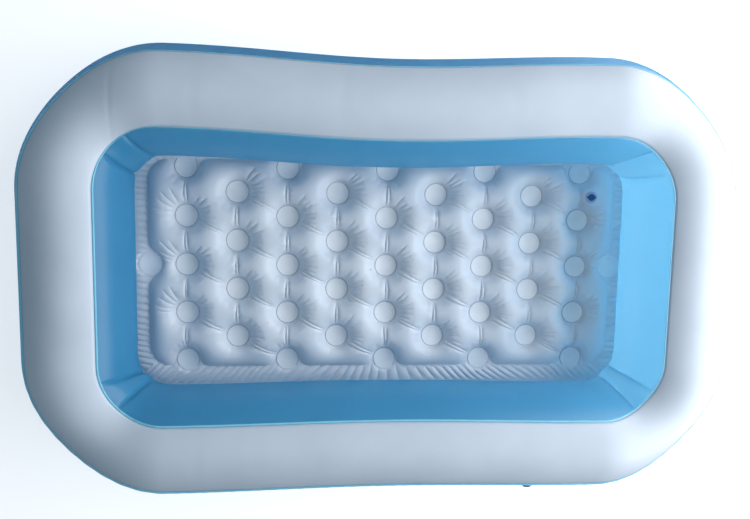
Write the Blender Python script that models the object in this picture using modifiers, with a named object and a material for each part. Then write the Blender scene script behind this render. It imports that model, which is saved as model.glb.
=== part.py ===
"""Inflatable paddling pool: one fat air ring round a soft, tufted air floor.

Metres, +Z up, +X along the pool, origin on the ground under its middle. The ring
is welded from thin vinyl film: a white top panel, an inner wall of two lapped
strips and one outer wall band, all standing on one ground sheet. The floor
cushion is a film sheet spot welded down to the ground sheet. The ring and the
floor each have an air valve: base, sliding stem, hinged stopper and check flap.
"""

import math

import bmesh
import bpy
from mathutils import Matrix, Vector
from mathutils.geometry import delaunay_2d_cdt

# Overall size
LENGTH = 1.66
WIDTH = 1.033
HEIGHT = 0.28

# Film and fits
FILM = 0.0005
GAP = 0.0003
LAYER = FILM + GAP
OVERRUN = 0.01

# Air ring, seen from above
TUBE_WIDTH = 0.246
CORNER_RADIUS = 0.205
BACK_BOW = 0.018
FRONT_BOW = 0.008
CORNER_PINCH_SHARE = 0.07
CORNER_STEPS = 8
LONG_HALF_STEPS = 5
SHORT_STEPS = 4

# Air ring, seen in section; angles are measured at the tube's middle from its top
INNER_SEAM_ANGLE = math.radians(32.3)
OUTER_SEAM_ANGLE = math.radians(50.4)
LOWER_SEAM_ANGLE = math.radians(148.0)
FIN_HEIGHT = 0.004
WELD_MARGIN = 0.010
ARC_STEPS = 8
LAP_SHIFT_X = -0.08
LAP_WIDTH = 0.012
GROUND_EDGE = 0.008

# Floor cushion
FLOOR_SHIFT_X = 0.0125
FLOOR_SHIFT_Y = 0.005
CUSHION_END_INSET = 0.1185
CUSHION_SIDE_INSET = 0.1375
CUSHION_CORNER = 0.055
CROWN = 0.036
PITCH_X = 0.1247
PITCH_Y = 0.1217
SPOT_RADIUS = 0.027
SHOULDER = 0.016
END_WELD_OUTSET = 0.001
FLANGE_INSET = 0.030
SPOT_SIDES = 8
BORDER_STEP = 0.0624
BORDER_ROLL = 0.036

# Air valves, in a frame whose +Z leaves the film
VALVE_SIDES = 24
VALVE_FLANGE_RADIUS = 0.015
VALVE_FLANGE_THICK = 0.0012
COLLAR_RADIUS = 0.0095
COLLAR_DEPTH = 0.004
STEM_RADIUS = 0.0068
STEM_WALL = 0.0016
STEM_DEPTH = 0.018
BEAD_PROUD = 0.0012
BEAD_HEIGHT = 0.002
LIP_RADIUS = 0.009
LIP_THICK = 0.0012
TONGUE_WIDTH = 0.005
STRAP_REACH = 0.0025
STRAP_THICK = 0.0009
STRAP_WIDTH = 0.004
HEAD_RADIUS = 0.0085
HEAD_THICK = 0.0024
HEAD_ROUND = 0.0006
NOSE_LENGTH = 0.0052
NOSE_TIP_RADIUS = 0.0036
PULL_TAB_REACH = 0.004
FLAP_RADIUS = 0.0062
FLAP_THICK = 0.0008
FLAP_TAB_REACH = 0.001
FLAP_TAB_WIDTH = 0.004
TAB_ROOT = 0.001

# Where the valves sit
FLOOR_VALVE_OUTSET = 0.0227
FLOOR_VALVE_HEIGHT = 0.034
PLATEAU_MARGIN = 0.002
RING_VALVE_END_INSET = 0.357
RING_VALVE_ANGLE = math.radians(-72.0)

HALF_LENGTH = (LENGTH - TUBE_WIDTH) / 2
HALF_WIDTH = (WIDTH - TUBE_WIDTH) / 2
HALF_TUBE = TUBE_WIDTH / 2
HALF_HEIGHT = HEIGHT / 2
CUSHION_LENGTH = 2 * (HALF_LENGTH - CUSHION_END_INSET)
CUSHION_WIDTH = 2 * (HALF_WIDTH - CUSHION_SIDE_INSET)
COLUMNS_EACH_SIDE = round((CUSHION_LENGTH - PITCH_X) / (2 * PITCH_X))
PILLOW_X = (PITCH_X**2 + PITCH_Y**2 / 4) / (2 * PITCH_X)
FLOOR_VALVE_X = FLOOR_SHIFT_X + COLUMNS_EACH_SIDE * PITCH_X + FLOOR_VALVE_OUTSET
FLOOR_VALVE_Y = FLOOR_SHIFT_Y + 1.5 * PITCH_Y
RING_VALVE_X = HALF_LENGTH - RING_VALVE_END_INSET
FLANGE_TOP = VALVE_FLANGE_THICK + GAP
LIP_BOTTOM = FLANGE_TOP + GAP
LIP_TOP = LIP_BOTTOM + LIP_THICK
HEAD_BOTTOM = LIP_TOP + GAP
HINGE_X = LIP_RADIUS + STRAP_REACH
HINGE_Z = LIP_TOP + GAP / 2
FLAP_TOP = -STEM_DEPTH - GAP
FLAP_HINGE_X = FLAP_RADIUS + FLAP_TAB_REACH
FLAP_HINGE_Z = -STEM_DEPTH - GAP / 2
HOLE_RADIUS = COLLAR_RADIUS + GAP
PLATEAU_RADIUS = VALVE_FLANGE_RADIUS + PLATEAU_MARGIN


# Scene and materials
def clear_scene():
    for obj in list(bpy.data.objects):
        bpy.data.objects.remove(obj)


def add_collection(name):
    collection = bpy.data.collections.new(name)
    bpy.context.scene.collection.children.link(collection)
    return collection


def add_material(name, colour, roughness):
    material = bpy.data.materials.new(name)
    material.use_nodes = True
    shader = material.node_tree.nodes["Principled BSDF"]
    shader.inputs["Base Color"].default_value = (*colour, 1)
    shader.inputs["Roughness"].default_value = roughness
    shader.inputs["Metallic"].default_value = 0
    material.diffuse_color = (*colour, 1)
    return material


clear_scene()
POOL = add_collection("paddling_pool")
CUTTERS = add_collection("cutters")
WHITE_FILM = add_material("white_vinyl_film", (0.72, 0.76, 0.85), 0.42)
BLUE_FILM = add_material("blue_vinyl_film", (0.06, 0.33, 0.68), 0.3)
FLOOR_FILM = add_material("pale_floor_film", (0.52, 0.60, 0.74), 0.38)
VALVE_VINYL = add_material("dark_blue_moulded_vinyl", (0.02, 0.09, 0.29), 0.35)


def add_object(name, mesh, material):
    mesh.name = name
    obj = bpy.data.objects.new(name, mesh)
    obj.data.materials.clear()
    obj.data.materials.append(material)
    POOL.objects.link(obj)
    return obj


def add_cutter(obj):
    for collection in list(obj.users_collection):
        collection.objects.unlink(obj)
    CUTTERS.objects.link(obj)
    obj.hide_render = True
    obj.display_type = "WIRE"
    return obj


def combine(obj, other, operation):
    modifier = obj.modifiers.new(operation.lower(), "BOOLEAN")
    modifier.object = other
    modifier.operation = operation
    return obj


# Plan of the ring: stations (x, y, scale) on the line under the tube's middle
def side_y(x, bow):
    reach = HALF_LENGTH - CORNER_RADIUS
    return HALF_WIDTH - bow * math.cos(math.pi * x / (2 * reach)) ** 2


def long_side(start, end, steps, sign, bow):
    stations = []
    for step in range(steps + 1):
        x = start + (end - start) * step / steps
        stations.append((x, sign * side_y(x, bow), 1.0))
    return stations


def corner(x_sign, y_sign, start_degrees):
    centre_x = x_sign * (HALF_LENGTH - CORNER_RADIUS)
    centre_y = y_sign * (HALF_WIDTH - CORNER_RADIUS)
    stations = []
    for step in range(1, CORNER_STEPS):
        share = step / CORNER_STEPS
        angle = math.radians(start_degrees + 90 * share)
        scale = 1 - CORNER_PINCH_SHARE * math.sin(math.pi * share) ** 2
        x = centre_x + CORNER_RADIUS * math.cos(angle)
        y = centre_y + CORNER_RADIUS * math.sin(angle)
        stations.append((x, y, scale))
    return stations


def short_side(x_sign, y_start):
    return [
        (x_sign * HALF_LENGTH, y_start * (1 - 2 * step / SHORT_STEPS), 1.0)
        for step in range(SHORT_STEPS + 1)
    ]


def west_run():
    """From the lap at the back, round the left end, to the lap at the front."""
    end_x = HALF_LENGTH - CORNER_RADIUS
    end_y = HALF_WIDTH - CORNER_RADIUS
    near, far = LAP_SHIFT_X - LAP_WIDTH / 2, LAP_SHIFT_X + LAP_WIDTH / 2
    run = [(far, side_y(far, BACK_BOW), 1.0)]
    run += long_side(near, -end_x, LONG_HALF_STEPS, 1, BACK_BOW)
    run += corner(-1, 1, 90)
    run += short_side(-1, end_y)
    run += corner(-1, -1, 180)
    run += long_side(-end_x, near, LONG_HALF_STEPS, -1, FRONT_BOW)
    run.append((far, -side_y(far, FRONT_BOW), 1.0))
    return run


def east_run():
    """From the lap at the front, round the right end, to the lap at the back."""
    end_x = HALF_LENGTH - CORNER_RADIUS
    end_y = HALF_WIDTH - CORNER_RADIUS
    near, far = LAP_SHIFT_X - LAP_WIDTH / 2, LAP_SHIFT_X + LAP_WIDTH / 2
    run = [(near, -side_y(near, FRONT_BOW), 1.0)]
    run += long_side(far, end_x, LONG_HALF_STEPS, -1, FRONT_BOW)
    run += corner(1, -1, 270)
    run += short_side(1, -end_y)
    run += corner(1, 1, 0)
    run += long_side(end_x, far, LONG_HALF_STEPS, 1, BACK_BOW)
    run.append((near, side_y(near, BACK_BOW), 1.0))
    return run


def whole_run():
    return west_run() + east_run()[2:-2]


def plan_loop(outward):
    """The ring's plan line moved outward, with the tube's own pinch at the corners."""
    run = whole_run()
    loop = []
    for index, (x, y, scale) in enumerate(run):
        before = Vector(run[index - 1][:2])
        after = Vector(run[(index + 1) % len(run)][:2])
        along = (after - before).normalized()
        loop.append((x + along.y * outward * scale, y - along.x * outward * scale))
    return loop


# Section of the ring: points (outward, up) from the plan line
def tube_point(angle):
    return Vector((HALF_TUBE * math.sin(angle), HALF_HEIGHT * (1 + math.cos(angle))))


def tube_frame(angle):
    """The point on the tube at this angle, its tangent and its outward normal."""
    tangent = Vector((HALF_TUBE * math.cos(angle), -HALF_HEIGHT * math.sin(angle)))
    tangent.normalize()
    return tube_point(angle), tangent, Vector((-tangent.y, tangent.x))


def fin(angle, side, aside):
    """Root and tip of a weld fin that stands aside from the seam at this angle."""
    point, tangent, normal = tube_frame(angle)
    root = point + tangent * side * aside
    return root, root + normal * FIN_HEIGHT


def arc_between(start, end):
    return [
        tube_point(start + (end - start) * step / ARC_STEPS)
        for step in range(1, ARC_STEPS)
    ]


def top_panel_section():
    aside = FILM + GAP / 2
    outer_root, outer_tip = fin(OUTER_SEAM_ANGLE, -1, aside)
    inner_root, inner_tip = fin(-INNER_SEAM_ANGLE, 1, aside)
    arc = arc_between(OUTER_SEAM_ANGLE, -INNER_SEAM_ANGLE)
    return [outer_tip, outer_root, *arc, inner_root, inner_tip]


def wall_section(seam_angle, side, layers):
    """A wall's skin from its fin down to the margin welded to the ground sheet.

    side is 1 for the wall that faces away from the basin and -1 for the inner one.
    layers is how many films lie between this one and the air in the tube.
    """
    aside = FILM + GAP / 2 + layers * LAYER
    root, tip = fin(side * seam_angle, side, aside)
    arc = arc_between(side * seam_angle, side * LOWER_SEAM_ANGLE)
    point, tangent, _ = tube_frame(side * LOWER_SEAM_ANGLE)
    rest = LAYER + layers * LAYER
    reach = (rest - point.y) / (tangent.y * side)
    touch = Vector((point.x + tangent.x * side * reach, rest))
    edge = touch - Vector((side * WELD_MARGIN, 0))
    return [tip, root, *arc, point, touch, edge]


def moved_in(section, side, distance):
    """The section moved into the tube by a distance, square to itself all along."""
    moved = []
    for index, point in enumerate(section):
        before = section[max(index - 1, 0)]
        after = section[min(index + 1, len(section) - 1)]
        first = (point - before).normalized() if index else (after - point).normalized()
        last = (after - point).normalized() if index < len(section) - 1 else first
        normals = [Vector((-way.y, way.x)) * side for way in (first, last)]
        middle = (normals[0] + normals[1]).normalized()
        moved.append(point - middle * distance / middle.dot(normals[0]))
    return moved


def polyline(name, points, cyclic):
    curve = bpy.data.curves.new(name, "CURVE")
    curve.dimensions = "3D"
    curve.twist_mode = "Z_UP"
    spline = curve.splines.new("POLY")
    spline.points.add(len(points) - 1)
    for target, point in zip(spline.points, points):
        target.co = (point[0], point[1], 0, 1)
    spline.use_cyclic_u = cyclic
    return curve


def sweep(name, run, section, grow, cyclic, material):
    """Film swept along the run from an open section, then thickened into the tube.

    grow is 1 where the tube's air lies to the left of the section's way, else -1.
    """
    path = polyline(name + "_path", run, cyclic)
    for target, station in zip(path.splines[0].points, run):
        target.radius = station[2]
    profile = polyline(name + "_section", section, False)
    profile.dimensions = "2D"
    profile_object = bpy.data.objects.new(name + "_section", profile)
    path.bevel_mode = "OBJECT"
    path.bevel_object = profile_object
    path_object = bpy.data.objects.new(name + "_path", path)
    for helper in (profile_object, path_object):
        CUTTERS.objects.link(helper)
    bpy.context.view_layer.update()
    graph = bpy.context.evaluated_depsgraph_get()
    mesh = bpy.data.meshes.new_from_object(path_object.evaluated_get(graph))
    for helper in (path_object, profile_object):
        bpy.data.objects.remove(helper)
    obj = add_object(name, mesh, material)
    shell = obj.modifiers.new("film", "SOLIDIFY")
    shell.thickness = FILM
    shell.offset = grow
    shell.use_even_offset = True
    mesh.shade_smooth()
    return obj


def make_ring():
    west, east = west_run(), east_run()
    sweep("ring_top_panel", whole_run(), top_panel_section(), 1, True, WHITE_FILM)
    inner = wall_section(INNER_SEAM_ANGLE, -1, 1)
    sweep("inner_wall_left_strip", west, inner, 1, False, BLUE_FILM)
    lapped = moved_in(inner, -1, LAYER)
    sweep("inner_wall_right_strip", east, lapped, 1, False, BLUE_FILM)
    outer = wall_section(OUTER_SEAM_ANGLE, 1, 0)
    return sweep("outer_wall_band", whole_run(), outer, -1, True, BLUE_FILM)


def make_ground_sheet():
    reach = wall_section(OUTER_SEAM_ANGLE, 1, 0)[-2].x + GROUND_EDGE
    curve = polyline("ground_sheet", plan_loop(reach), True)
    curve.dimensions = "2D"
    curve.fill_mode = "BOTH"
    curve.extrude = FILM / 2
    obj = bpy.data.objects.new("ground_sheet", curve)
    curve.materials.append(BLUE_FILM)
    obj.location.z = FILM / 2
    POOL.objects.link(obj)
    return obj


# Floor cushion
def spot_centres():
    """Round welds inside the cushion, and those that notch its border."""
    inside, edge = [], []
    for column in range(-COLUMNS_EACH_SIDE, COLUMNS_EACH_SIDE + 1):
        x = FLOOR_SHIFT_X + column * PITCH_X
        rows = (-1, 0, 1) if column % 2 == 0 else (-1.5, -0.5, 0.5, 1.5)
        inside += [(x, FLOOR_SHIFT_Y + row * PITCH_Y) for row in rows]
        if column % 2 == 0:
            edge += [(x, FLOOR_SHIFT_Y + row * PITCH_Y) for row in (-2, 2)]
    reach = CUSHION_LENGTH / 2 + END_WELD_OUTSET
    edge += [(FLOOR_SHIFT_X + sign * reach, FLOOR_SHIFT_Y) for sign in (-1, 1)]
    return inside, edge


def border_distance(x, y):
    """How far a point lies inside the cushion's rounded outline."""
    past_x = abs(x - FLOOR_SHIFT_X) - (CUSHION_LENGTH / 2 - CUSHION_CORNER)
    past_y = abs(y - FLOOR_SHIFT_Y) - (CUSHION_WIDTH / 2 - CUSHION_CORNER)
    outside = math.hypot(max(past_x, 0), max(past_y, 0))
    return CUSHION_CORNER - outside - min(max(past_x, past_y), 0)


def cushion_height(x, y, spots):
    """Height of the blown film: it rises from each weld and rolls over the border."""
    nearest = min(math.dist((x, y), spot) for spot in spots) - SPOT_RADIUS
    border = border_distance(x, y)
    if min(nearest, border) <= 0:
        return 0.0
    pillow = min(nearest / (PILLOW_X - SPOT_RADIUS), 1)
    roll = min(border / BORDER_ROLL, 1)
    height = CROWN * min(pillow, math.sqrt(roll * (2 - roll)))
    from_valve = math.dist((x, y), (FLOOR_VALVE_X, FLOOR_VALVE_Y)) - PLATEAU_RADIUS
    blend = min(max(from_valve / SHOULDER, 0), 1)
    return height * blend + (FLOOR_VALVE_HEIGHT - LAYER - FILM) * (1 - blend)


def circle_points(x, y, radius, sides):
    turns = [2 * math.pi * (side + 0.5) / sides for side in range(sides)]
    return [(x + radius * math.cos(t), y + radius * math.sin(t)) for t in turns]


def border_points():
    """Points along the cushion's rounded outline."""
    straight_x = CUSHION_LENGTH / 2 - CUSHION_CORNER
    straight_y = CUSHION_WIDTH / 2 - CUSHION_CORNER
    points = []
    for sign in (-1, 1):
        steps = round(2 * straight_x / BORDER_STEP)
        for step in range(steps + 1):
            x = straight_x * (2 * step / steps - 1)
            points.append((x, sign * CUSHION_WIDTH / 2))
        steps = round(2 * straight_y / BORDER_STEP)
        for step in range(steps + 1):
            y = straight_y * (2 * step / steps - 1)
            points.append((sign * CUSHION_LENGTH / 2, y))
        for turn in (-1, 1):
            reach = CUSHION_CORNER * math.sqrt(2) / 2
            points.append((sign * (straight_x + reach), turn * (straight_y + reach)))
    return [(x + FLOOR_SHIFT_X, y + FLOOR_SHIFT_Y) for x, y in points]


def pillow_points(x, y):
    """Low points between a weld and its six neighbours, and the six tops around it."""
    up, aside = PITCH_Y / 2, PITCH_X / 2
    tops = [(PILLOW_X, 0), (PITCH_X - PILLOW_X, up)]
    lows = [(0, up), (aside, up / 2)]
    return [
        (x + right * across, y + back * along)
        for across, along in tops + lows
        for right in (-1, 1)
        for back in (-1, 1)
    ]


def floor_points():
    """Plan points of the cushion sheet, and the welds that shape it."""
    inside, edge = spot_centres()
    spots = inside + edge
    valve = (FLOOR_VALVE_X, FLOOR_VALVE_Y)

    def free(point, margin):
        clear = min(math.dist(point, spot) for spot in spots) > SPOT_RADIUS + margin
        return clear and math.dist(point, valve) > PLATEAU_RADIUS + margin

    points = []
    for spot in spots:
        rim = circle_points(*spot, SPOT_RADIUS, SPOT_SIDES)
        points += [point for point in rim if border_distance(*point) > -SHOULDER / 2]
    points += circle_points(*valve, HOLE_RADIUS, SPOT_SIDES * 2)
    points += circle_points(*valve, PLATEAU_RADIUS, SPOT_SIDES)
    points += [point for point in border_points() if free(point, SHOULDER / 2)]
    for point in [point for spot in spots for point in pillow_points(*spot)]:
        inner = border_distance(*point) > SHOULDER / 2 and free(point, SHOULDER / 2)
        spread = min(math.dist(point, other) for other in points) > SHOULDER / 2
        if inner and spread:
            points.append(point)
    return points, spots


def make_floor_sheet():
    points, spots = floor_points()
    count = len(points)
    loop = [Vector(point) for point in plan_loop(-FLANGE_INSET)[::2]]
    edges = [(count + i, count + (i + 1) % len(loop)) for i in range(len(loop))]
    flat = [Vector(point) for point in points] + loop
    made = delaunay_2d_cdt(flat, edges, [], 1, FILM / 100)
    sheet = bmesh.new()
    rest = LAYER + FILM
    verts = []
    for place in made[0]:
        height = cushion_height(place.x, place.y, spots)
        verts.append(sheet.verts.new((place.x, place.y, rest + height)))
    valve = Vector((FLOOR_VALVE_X, FLOOR_VALVE_Y))
    for corners in made[2]:
        middle = sum((made[0][corner] for corner in corners), Vector((0, 0))) / 3
        if (middle - valve).length > HOLE_RADIUS:
            sheet.faces.new([verts[corner] for corner in corners])
    bmesh.ops.recalc_face_normals(sheet, faces=sheet.faces[:])
    mesh = bpy.data.meshes.new("floor_top_sheet")
    sheet.to_mesh(mesh)
    sheet.free()
    obj = add_object("floor_top_sheet", mesh, FLOOR_FILM)
    shell = obj.modifiers.new("film", "SOLIDIFY")
    shell.thickness = FILM
    shell.offset = -1
    shell.use_even_offset = True
    mesh.shade_smooth()
    return obj


# Air valves
def turned(name, profile, closed, material):
    """A profile (radius, height) turned about Z; it runs down its outer side."""
    mesh = bpy.data.meshes.new(name)
    ends = [(i, i + 1) for i in range(len(profile) - 1)]
    if closed:
        ends.append((len(profile) - 1, 0))
    mesh.from_pydata([(radius, 0, height) for radius, height in profile], ends, [])
    obj = add_object(name, mesh, material)
    screw = obj.modifiers.new("turn", "SCREW")
    screw.steps = screw.render_steps = VALVE_SIDES
    screw.use_merge_vertices = True
    screw.merge_threshold = GAP / 30
    screw.use_smooth_shade = True
    return obj


def bar(name, low, high, material):
    """A plain bar between two corners."""
    block = bmesh.new()
    bmesh.ops.create_cube(block, size=1)
    size = Vector(high) - Vector(low)
    middle = (Vector(high) + Vector(low)) / 2
    block.transform(Matrix.Translation(middle) @ Matrix.Diagonal((*size, 1)))
    mesh = bpy.data.meshes.new(name)
    block.to_mesh(mesh)
    block.free()
    return add_object(name, mesh, material)


def valve_base(name):
    bore = STEM_RADIUS + GAP
    rounded = VALVE_FLANGE_THICK / 2
    return turned(
        name,
        [
            (bore, FLANGE_TOP),
            (VALVE_FLANGE_RADIUS - rounded, FLANGE_TOP),
            (VALVE_FLANGE_RADIUS, FLANGE_TOP - rounded),
            (VALVE_FLANGE_RADIUS, GAP),
            (COLLAR_RADIUS, GAP),
            (COLLAR_RADIUS, -COLLAR_DEPTH),
            (bore, -COLLAR_DEPTH),
        ],
        True,
        VALVE_VINYL,
    )


def valve_stem(name):
    bore = STEM_RADIUS - STEM_WALL
    bead_top = -STEM_DEPTH + BEAD_HEIGHT
    tube = turned(
        name,
        [
            (bore, LIP_TOP),
            (LIP_RADIUS, LIP_TOP),
            (LIP_RADIUS, LIP_BOTTOM),
            (STEM_RADIUS, LIP_BOTTOM),
            (STEM_RADIUS, bead_top),
            (STEM_RADIUS + BEAD_PROUD, bead_top - BEAD_PROUD / 2),
            (STEM_RADIUS + BEAD_PROUD, -STEM_DEPTH),
            (bore, -STEM_DEPTH),
        ],
        True,
        VALVE_VINYL,
    )
    half = TONGUE_WIDTH / 2
    tongue = bar(
        name + "_tongue",
        (LIP_RADIUS - STEM_WALL, -half, LIP_BOTTOM),
        (HINGE_X - GAP, half, LIP_TOP),
        VALVE_VINYL,
    )
    return combine(tube, add_cutter(tongue), "UNION"), tongue


def valve_stopper(name):
    """The plug, with its origin on the strap's hinge line."""
    head_top = HEAD_BOTTOM + HEAD_THICK
    plug_radius = STEM_RADIUS - STEM_WALL - GAP
    plug = turned(
        name,
        [
            (0, head_top),
            (HEAD_RADIUS - HEAD_ROUND, head_top),
            (HEAD_RADIUS, head_top - HEAD_ROUND),
            (HEAD_RADIUS, HEAD_BOTTOM),
            (plug_radius, HEAD_BOTTOM),
            (NOSE_TIP_RADIUS, HEAD_BOTTOM - NOSE_LENGTH),
            (0, HEAD_BOTTOM - NOSE_LENGTH),
        ],
        False,
        VALVE_VINYL,
    )
    half = STRAP_WIDTH / 2
    strap = bar(
        name + "_strap",
        (HEAD_RADIUS - TAB_ROOT, -half, HEAD_BOTTOM),
        (HINGE_X, half, HEAD_BOTTOM + STRAP_THICK),
        VALVE_VINYL,
    )
    pull = bar(
        name + "_pull_tab",
        (-HEAD_RADIUS - PULL_TAB_REACH, -half, HEAD_BOTTOM + STRAP_THICK / 2),
        (TAB_ROOT - HEAD_RADIUS, half, HEAD_BOTTOM + STRAP_THICK * 3 / 2),
        VALVE_VINYL,
    )
    for piece in (strap, pull):
        combine(plug, add_cutter(piece), "UNION")
    return plug, (strap, pull)


def valve_flap(name):
    """The check flap under the stem, with its origin on its hinge line."""
    disc = turned(
        name,
        [
            (0, FLAP_TOP),
            (FLAP_RADIUS, FLAP_TOP),
            (FLAP_RADIUS, FLAP_TOP - FLAP_THICK),
            (0, FLAP_TOP - FLAP_THICK),
        ],
        False,
        VALVE_VINYL,
    )
    half = FLAP_TAB_WIDTH / 2
    tab = bar(
        name + "_tab",
        (FLAP_RADIUS - TAB_ROOT, -half, FLAP_TOP - FLAP_THICK),
        (FLAP_HINGE_X, half, FLAP_TOP),
        VALVE_VINYL,
    )
    return combine(disc, add_cutter(tab), "UNION"), tab


def add_empty(name, parent, location):
    empty = bpy.data.objects.new(name, None)
    POOL.objects.link(empty)
    empty.parent = parent
    empty.location = location
    return empty


def hang(obj, parent, origin):
    """Parents a piece, whose mesh is in the valve's frame, to an empty at origin."""
    obj.parent = parent
    obj.location = -Vector(origin)


def make_valve(prefix, place):
    """One air valve; place turns the valve's own frame into the pool's."""
    frame = add_empty(prefix + "_frame", None, (0, 0, 0))
    frame.matrix_world = place
    slide = add_empty(prefix + "_slide_axis", frame, (0, 0, 0))
    stopper_at = (HINGE_X, 0, HINGE_Z)
    flap_at = (FLAP_HINGE_X, 0, FLAP_HINGE_Z)
    stopper_axis = add_empty(prefix + "_stopper_axis", slide, stopper_at)
    flap_axis = add_empty(prefix + "_flap_axis", slide, flap_at)
    hang(valve_base(prefix + "_base"), frame, (0, 0, 0))
    stem, tongue = valve_stem(prefix + "_stem")
    stopper, tabs = valve_stopper(prefix + "_stopper")
    flap, flap_tab = valve_flap(prefix + "_flap")
    for piece in (stem, tongue):
        hang(piece, slide, (0, 0, 0))
    for piece in (stopper, *tabs):
        hang(piece, stopper_axis, stopper_at)
    for piece in (flap, flap_tab):
        hang(piece, flap_axis, flap_at)


def floor_valve_place():
    return Matrix.Translation((FLOOR_VALVE_X, FLOOR_VALVE_Y, FLOOR_VALVE_HEIGHT))


def ring_valve_place():
    """On the front of the outer wall, its +X along the pool and its +Z off the film."""
    point, _, normal = tube_frame(-RING_VALVE_ANGLE)
    y = -side_y(RING_VALVE_X, FRONT_BOW) - point.x
    out = Vector((0, -normal.x, normal.y))
    across = out.cross(Vector((1, 0, 0)))
    turn = Matrix((Vector((1, 0, 0)), across, out)).transposed().to_4x4()
    return Matrix.Translation((RING_VALVE_X, y, point.y)) @ turn


def cut_valve_hole(wall, place):
    drill = turned(
        "ring_valve_hole",
        [
            (0, OVERRUN),
            (HOLE_RADIUS, OVERRUN),
            (HOLE_RADIUS, -OVERRUN),
            (0, -OVERRUN),
        ],
        False,
        VALVE_VINYL,
    )
    drill.matrix_world = place
    combine(wall, add_cutter(drill), "DIFFERENCE")


def make_pool():
    outer_wall = make_ring()
    make_ground_sheet()
    make_floor_sheet()
    make_valve("floor_valve", floor_valve_place())
    make_valve("ring_valve", ring_valve_place())
    cut_valve_hole(outer_wall, ring_valve_place())
    bpy.context.view_layer.update()


make_pool()
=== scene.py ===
# %% [markdown]
# # An inflatable paddling pool
#
# A paddling pool is nothing but welded vinyl film and air. The air pulls every
# film into a smooth bulge and the welds hold it back, so the whole look is in
# three things: the fat round ring, the floor that is spot welded into pillows,
# and the little wrinkles where flat film has to bend two ways at once.
#
# The solid model gives the sizes and stays underneath. Here each film is made
# again with a fine mesh, its creases and its real finish.

import math

import bpy
import numpy as np
from mathutils import Matrix, Vector, noise


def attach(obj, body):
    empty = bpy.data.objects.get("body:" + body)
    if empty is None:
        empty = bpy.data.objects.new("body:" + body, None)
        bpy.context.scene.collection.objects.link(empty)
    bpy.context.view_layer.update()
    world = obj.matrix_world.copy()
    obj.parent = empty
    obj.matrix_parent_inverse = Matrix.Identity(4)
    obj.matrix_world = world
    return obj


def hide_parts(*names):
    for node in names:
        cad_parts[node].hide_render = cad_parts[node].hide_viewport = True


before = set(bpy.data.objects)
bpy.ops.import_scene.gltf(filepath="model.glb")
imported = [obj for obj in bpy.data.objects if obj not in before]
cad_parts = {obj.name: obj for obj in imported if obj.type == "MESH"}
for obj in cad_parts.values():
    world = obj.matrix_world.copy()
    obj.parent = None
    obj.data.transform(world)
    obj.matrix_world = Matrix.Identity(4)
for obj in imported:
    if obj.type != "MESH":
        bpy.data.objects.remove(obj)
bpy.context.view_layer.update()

# %% [markdown]
# ## The camera
#
# The photograph looks almost straight down from about 1.8 m, a little left of the
# middle and a little to the back. Because it's so near, it sees less of the left
# inner wall than of the right one, and the strip of the outer wall that shows is
# widest along the back. The place, the tilt and the lens were solved from the
# outlines and the floor's welds, so they are typed in as they came out.

# %% Camera
CAMERA_PLACE = Vector((-0.1839, 0.2395, 1.8347))
CAMERA_TURN = (-0.1205, -0.0896, 0.0182)
CAMERA_LENS_MM = 34.77
SENSOR_MM = 36.0

camera_data = bpy.data.cameras.new("camera")
camera_data.lens = CAMERA_LENS_MM
camera_data.sensor_width = SENSOR_MM
camera_data.sensor_fit = "HORIZONTAL"
camera = bpy.data.objects.new("camera", camera_data)
bpy.context.scene.collection.objects.link(camera)
turn_x, turn_y, turn_z = CAMERA_TURN
spin = Matrix.Rotation(turn_z, 4, "Z") @ Matrix.Rotation(turn_y, 4, "Y")
camera.matrix_world = (
    Matrix.Translation(CAMERA_PLACE) @ spin @ Matrix.Rotation(turn_x, 4, "X")
)
bpy.context.scene.camera = camera
print("camera at", tuple(CAMERA_PLACE), "lens", CAMERA_LENS_MM, "mm")

# %% [markdown]
# ## Helpers for finishes
#
# Colours are written as the sRGB hex values that a designer would give, and one
# function turns them to the linear values that the shader needs. Another small
# function adds one node, sets what it is told and makes its links, and two more
# use it for sums and for noise.

# %% Colour and node helpers
MM = 0.001


def linear(hex_colour):
    """A colour like "6fc8e4" in sRGB, as linear red, green, blue and alpha."""
    values = []
    for start in (0, 2, 4):
        share = int(hex_colour[start : start + 2], 16) / 255
        if share <= 0.04045:
            values.append(share / 12.92)
        else:
            values.append(((share + 0.055) / 1.055) ** 2.4)
    return (*values, 1.0)


def add_node(material, kind, inputs, **settings):
    """One node in the material: settings are its own, inputs are values or links."""
    tree = material.node_tree
    node = tree.nodes.new(kind)
    for name, value in settings.items():
        setattr(node, name, value)
    for name, value in inputs.items():
        if isinstance(value, bpy.types.NodeSocket):
            tree.links.new(value, node.inputs[name])
        else:
            node.inputs[name].default_value = value
    return node


def math_node(material, operation, *values):
    """One sum in the shader; each value is a number or a link."""
    inputs = dict(enumerate(values))
    return add_node(material, "ShaderNodeMath", inputs, operation=operation).outputs[0]


def noise_node(material, place, size_mm, detail):
    """Soft noise with patches of about this size."""
    values = {"Vector": place, "Scale": 1 / (size_mm * MM), "Detail": detail}
    return add_node(material, "ShaderNodeTexNoise", values).outputs["Fac"]


def new_material(name):
    material = bpy.data.materials.new(name)
    material.use_nodes = True
    return material, material.node_tree.nodes["Principled BSDF"]


# %% [markdown]
# ## White film
#
# The top of the ring is calendered PVC film: PVC with a lot of softener, rolled
# to about 0.25 mm between steel rollers. Rolling leaves a very fine even grain,
# so it has a soft gloss, not a mirror. The white filler makes it opaque.
#
# The grain of the real film is about 0.3 mm, too fine to show here. It's drawn at
# 2.5 mm, with very little height, and a broad faint mottling stands for the
# uneven pull of the air on the film.

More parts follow.
